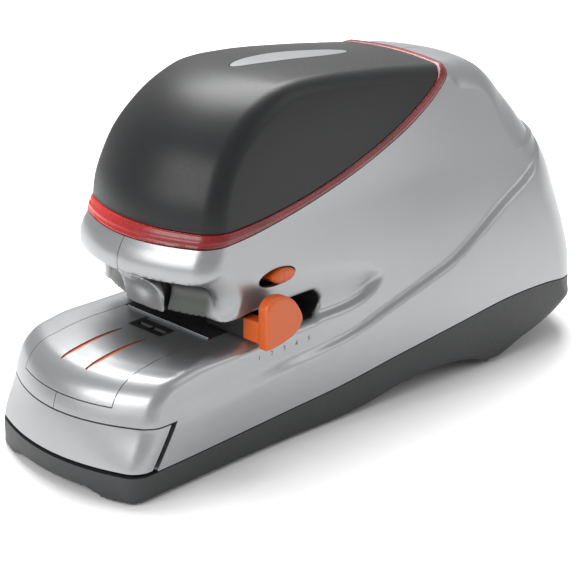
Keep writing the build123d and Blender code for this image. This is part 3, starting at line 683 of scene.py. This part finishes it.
# opening for the drawer, and the panel that fills it
drawer_hole = prism([(-FAR, 0), (-108.4, 0), (-106.9, 10.8), (-98.0, 25.6), (-FAR, 25.6)], -60, 60)
drawer_form = prism([(-FAR, 10.2), (-109.4, 11.0), (-100.9, 25.1), (-FAR, 25.1)], -60, 60)


def plate_corner(y, half):
    """Half width of the table plate, which flares a little where it wraps over the nose."""
    return half + 0.9 * float(fade((-95 - y) / 20))


plan = [(-TABLE_X, -30.6), (-TABLE_X, -60), (-TABLE_X, -95)]
plan += [(-plate_corner(y, TABLE_X), y) for y in (-100, -105, -110, -130)]
plan += [(-x, y) for x, y in reversed(plan)]
plate_cut = prism(plan, TABLE_FRONT_Z, 46, "z")
plate_hole = prism([(x * 1.012, y) for x, y in plan], TABLE_FRONT_Z - 0.35, 47, "z")
anvil_window = slab(-8.5, 8.5, -80.0, -70.8, 20, 46)
magazine_tunnel = slab(-10.4, 10.9, -90, -4.5, 49, 65.2)
switch_hole = prism(ellipse((SWITCH_Y, SWITCH_Z), SWITCH_HOLE), 20, 50)
jack_hole = slab(JACK_X - JACK_HALF, JACK_X + JACK_HALF, 100, 140, JACK_Z - JACK_HALF, JACK_Z + JACK_HALF)
hole_half = [half + BUTTON_GAP for half in BUTTON_HALF]
button_hole = prism(ellipse((0, BUTTON_Y), hole_half), 100, 150, "z")
button_form = prism(ellipse((0, BUTTON_Y), BUTTON_HALF), BUTTON_UNDERSIDE, 150, "z")


def blacken_throat(piece):
    """Gives the faces inside the paper gap the black material; its outer rim stays silver."""
    for face in piece.data.polygons:
        x, y, z = face.center / MM
        z -= LIFT
        rim = float(SIDE.sample("width", np.array([y]), np.array([z]))[0]) - 1.4
        front = -50 if z < 44 else -69.5
        if abs(x) < rim and front < y < -24 and TABLE_Z - 0.3 < z < THROAT_TOP + 0.5:
            face.material_index = 1


base = carved("base_tray_shell", whole, [("INTERSECT", below_base), ("DIFFERENCE", core)])
finished(base, "root", [BASE_GREY], ["base_tray"])
silver = carved("silver_body", whole, [
    ("INTERSECT", above_base), ("DIFFERENCE", above_low_in), ("DIFFERENCE", core),
    ("DIFFERENCE", drawer_hole), ("DIFFERENCE", plate_hole), ("DIFFERENCE", magazine_tunnel),
    ("DIFFERENCE", switch_hole), ("DIFFERENCE", jack_hole)])
for side_name, half in (("left", left_half), ("right", right_half)):
    piece = carved(f"housing_{side_name}_shell", silver, [("INTERSECT", half)])
    keep_biggest(piece)
    finished(piece, "root", [HOUSING_SILVER_PAINTED_SHADE, BLACK], [f"housing_{side_name}"])
    blacken_throat(piece)
bpy.data.objects.remove(silver)

cover = carved("top_cover_shell", whole, [
    ("INTERSECT", above_high), ("DIFFERENCE", core), ("DIFFERENCE", button_hole)])
keep_biggest(cover)
finished(cover, "root", [CHARCOAL], ["top_cover"])
button = carved("trigger_button_cap", whole, [("INTERSECT", button_form)])
finished(button, "trigger_button", [SILVER], ["trigger_button"])


def band_field(x, y, z):
    """Light band: a rib that stands a little proud of the skin between its two joint lines."""
    rise = SIDE.sample("band_low", y, z)
    fall = SIDE.sample("band_high", y, z)
    rib = np.maximum(rise, fall)
    crown = 0.5 + 0.35 * np.clip(1 - np.abs(rise - fall) / 2.0, 0, 1)
    skin = skin_field(x, y, z)
    return round_max(round_max(skin - crown, rib, 0.5), -(skin + WALL), 0.3)


for name, line, sign in (("band_low", BAND_LOW, 1), ("band_high", BAND_HIGH, -1)):
    region = np.array(corner_region(line, 0))
    distance, _ = polygon_distance(region, SIDE.y, SIDE.z)
    SIDE.layers[name] = sign * distance + 0.12
band = solid("light_band_lens", band_field, (0, -93, 76), (37, 57, 129), CELL_FINE, symmetric=True)
finished(band, "root", [RED_LENS], ["light_band"], angle=60)


def mark_outline(side, grow):
    """Plan of one guide mark: wide at the front and drawn out to the rear."""
    front, rear = -111.5, -84.0
    edge = []
    for i in range(15):
        t = i / 14
        half = (0.95 * math.sin(math.pi * min(1.0, t * 2.6 + 0.12) / 2) * (1 - t) ** 0.55 + 0.14) + grow
        edge.append((half, front + (rear - front) * t))
    middle = side * GUIDE_X
    return [(middle + w, y) for w, y in edge] + [(middle - w, y) for w, y in reversed(edge)]


grooves = [prism(mark_outline(side, 0.12), 20, 50, "z") for side in (-1, 1)]
plate = carved("table_plate_skin", whole, [
    ("INTERSECT", plate_cut), ("DIFFERENCE", core), ("DIFFERENCE", anvil_window)]
    + [("DIFFERENCE", groove) for groove in grooves])
keep_biggest(plate)
for side in (-1, 1):
    mark = carved("guide_mark_" + ("left" if side < 0 else "right"), whole, [
        ("INTERSECT", prism(mark_outline(side, 0.0), 36.5, 50, "z"))])
    for vertex in mark.data.vertices:
        vertex.co.z -= 0.55 * MM
    finished(mark, "root", [ORANGE])
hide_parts("guide_marks")
finished(plate, "root", [SILVER, BLACK], ["table_plate"])
for face in plate.data.polygons:
    if face.center.y / MM > -69.4:
        face.material_index = 1

panel = carved("drawer_front_panel", whole, [
    ("INTERSECT", above_base), ("INTERSECT", drawer_form), ("DIFFERENCE", core)])
keep_biggest(panel)
finished(panel, "drawer", [SILVER], ["drawer_front"])


def nose_field(x, y, z):
    """Front of the magazine: square at its left, rounded at its upper right, with a thumb dimple."""
    reach = np.maximum(x - (NOSE_X[1] - NOSE_RADIUS), 0)
    lift = np.maximum(z - 56.4, 0)
    corner = np.hypot(reach, lift) - NOSE_RADIUS
    panel = np.maximum(corner, np.maximum(NOSE_X[0] - x, NOSE_LOW - z))
    dimple = 1.1 * np.exp(-((x - 1.5) ** 2 + (z - 58.5) ** 2) / 15)
    return np.maximum(round_max(skin_field(x, y, z, chin=0) + dimple, panel, 0.9), y + 78.9)


nose = solid("magazine_nose", nose_field, (-11, -88, 49), (12, -78, 66), CELL_FINE)
finished(nose, "magazine", [SILVER], ["magazine_front"])

TAB_OUTLINE = smooth_curve([(TAB_FRONT, 56.0), (-59.8, 58.8), (-55.6, 59.4), (-50.4, 57.6), (-46.4, 53.2),
                            (-44.6, 48.0), (-47.4, 44.2), (-53.4, 42.0), (TAB_FRONT, 41.2)], 1.5)


def guide_field(x, y, z):
    """Depth guide: a round-shouldered tab outside and the paper stop that reaches into the gap."""
    outline, _ = polygon_distance(TAB_OUTLINE, y + 0 * z, z + 0 * y)
    tab = round_max(np.abs(x - sum(TAB_X) / 2) - (TAB_X[1] - TAB_X[0]) / 2, outline, 1.3)
    across = round_max(np.abs(x - 4.4) - STOP_HALF[0], np.abs(y - STOP_Y) - STOP_HALF[1], 0.6)
    stop = round_max(across, np.abs(z - STOP_Z) - STOP_HALF[2], 0.6)
    notch = np.maximum(np.abs(x) - 12, y + 59.2)
    return np.minimum(tab, np.maximum(stop, -notch))


guide = solid("depth_guide_tab", guide_field, (-31, -63.2, 40), (44.4, -43.5, 60.6), CELL_FINE)
finished(guide, "depth_guide", [ORANGE, BLACK], ["depth_guide"], angle=40)
for face in guide.data.polygons:
    if face.center.x / MM < 31:
        face.material_index = 1


def knob_field(x, y, z):
    """Mode switch: an oval cap with a softly domed face and three grip ribs."""
    u, v = y - (SWITCH_Y + KNOB_SHIFT), z - SWITCH_Z
    oval = (np.hypot(u / KNOB_HALF[0], v / KNOB_HALF[1]) - 1) * KNOB_HALF[1]
    ribs = 0.16 * np.cos(u * 2.4) * fade((3.6 - np.abs(u)) / 1.5)
    return np.maximum(round_max(x - (36.1 - 0.012 * u * u - 0.05 * v * v) - ribs, oval, 0.8), 29 - x)


knob = solid("mode_switch_knob", knob_field, (28, -53.5, 58.5), (37.5, -39, 66.5), CELL_FINE * 0.8)
finished(knob, "mode_switch", [ORANGE], ["mode_switch"], angle=50)

# the anvil gets a darker steel than the other hard steel pieces: painted shade for the shadow under the
# chin
nodes["anvil"].data.materials[0] = ANVIL_SHADE_STEEL


def lip_field(x, y, z):
    """Bright lip across the table plate, just behind the anvil."""
    bar = round_max(np.abs(x - LIP_X) - LIP_HALF[0], np.abs(y - LIP_Y) - LIP_HALF[1], 0.3)
    return round_max(bar, np.abs(z - LIP_Z) - LIP_HALF[2], 0.3)


lip = solid("table_lip", lip_field, (-21, -71, 41), (23, -68.6, 43.4), 0.35)
finished(lip, "root", [HARD_STEEL])

# numbers of the depth scale, printed on the skirt below the paper gap
for number, y in enumerate(SCALE_Y, start=1):
    text = bpy.data.curves.new(f"scale_{number}", "FONT")
    text.body = str(number)
    text.size = SCALE_SIZE * MM
    text.align_x = "CENTER"
    text.align_y = "CENTER"
    text.extrude = 0.02 * MM
    x = float(SIDE.sample("width", np.array([y]), np.array([SCALE_Z]))[0])
    letter = bpy.data.objects.new(f"scale_{number}", text)
    letter.location = (x * MM, y * MM, (SCALE_Z + LIFT) * MM)
    letter.rotation_euler = (math.radians(90), 0, math.radians(90))
    bpy.context.scene.collection.objects.link(letter)
    letter.data.materials.append(INK)
    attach(letter, "root")

for cutter in [o for o in bpy.data.objects if o.name.startswith("cutter")] + [whole, core]:
    bpy.data.objects.remove(cutter)

# ------------------------------------------------------------------ stage
floor_mesh = bpy.data.meshes.new("floor")
floor_mesh.from_pydata([(-4, -4, 0), (4, -4, 0), (4, 4, 0), (-4, 4, 0)], [], [(0, 1, 2, 3)])
floor = bpy.data.objects.new("floor", floor_mesh)
bpy.context.scene.collection.objects.link(floor)
floor.data.materials.append(new_material("floor_paint", (0.86, 0.86, 0.86), 0.6, grain=0.0, mottle=0.004))

world = bpy.data.worlds.new("studio")
world.use_nodes = True
world.node_tree.nodes["Background"].inputs["Color"].default_value = (1, 1, 1, 1)
world.node_tree.nodes["Background"].inputs["Strength"].default_value = 0.58
bpy.context.scene.world = world
bpy.context.scene.view_settings.view_transform = "Standard"


def softbox(name, place, target, size, watts):
    """Soft square light that faces a point."""
    data = bpy.data.lights.new(name, "AREA")
    data.shape = "RECTANGLE"
    data.size, data.size_y = size
    data.energy = watts
    light = bpy.data.objects.new(name, data)
    light.location = place
    direction = np.array(target) - np.array(place)
    light.rotation_euler = Vector(direction).to_track_quat("-Z", "Y").to_euler()
    bpy.context.scene.collection.objects.link(light)


softbox("key", (-0.05, -1.15, 0.68), (0, 0, 0.06), (1.0, 0.6), 10)
softbox("top", (-0.45, 0.35, 1.1), (0, 0, 0.06), (0.9, 0.8), 26)
softbox("side", (1.1, 0.9, 0.7), (0, 0, 0.06), (0.8, 0.8), 3)

camera_data = bpy.data.cameras.new("camera")
camera_data.sensor_width = 36
camera_data.lens = 124.14
camera_data.clip_start = 0.05
camera = bpy.data.objects.new("camera", camera_data)
camera.location = (0.4878, -0.4961, 0.3157)
camera.rotation_euler = (math.radians(90 - 22), 0, math.radians(45))
bpy.context.scene.collection.objects.link(camera)
bpy.context.scene.camera = camera
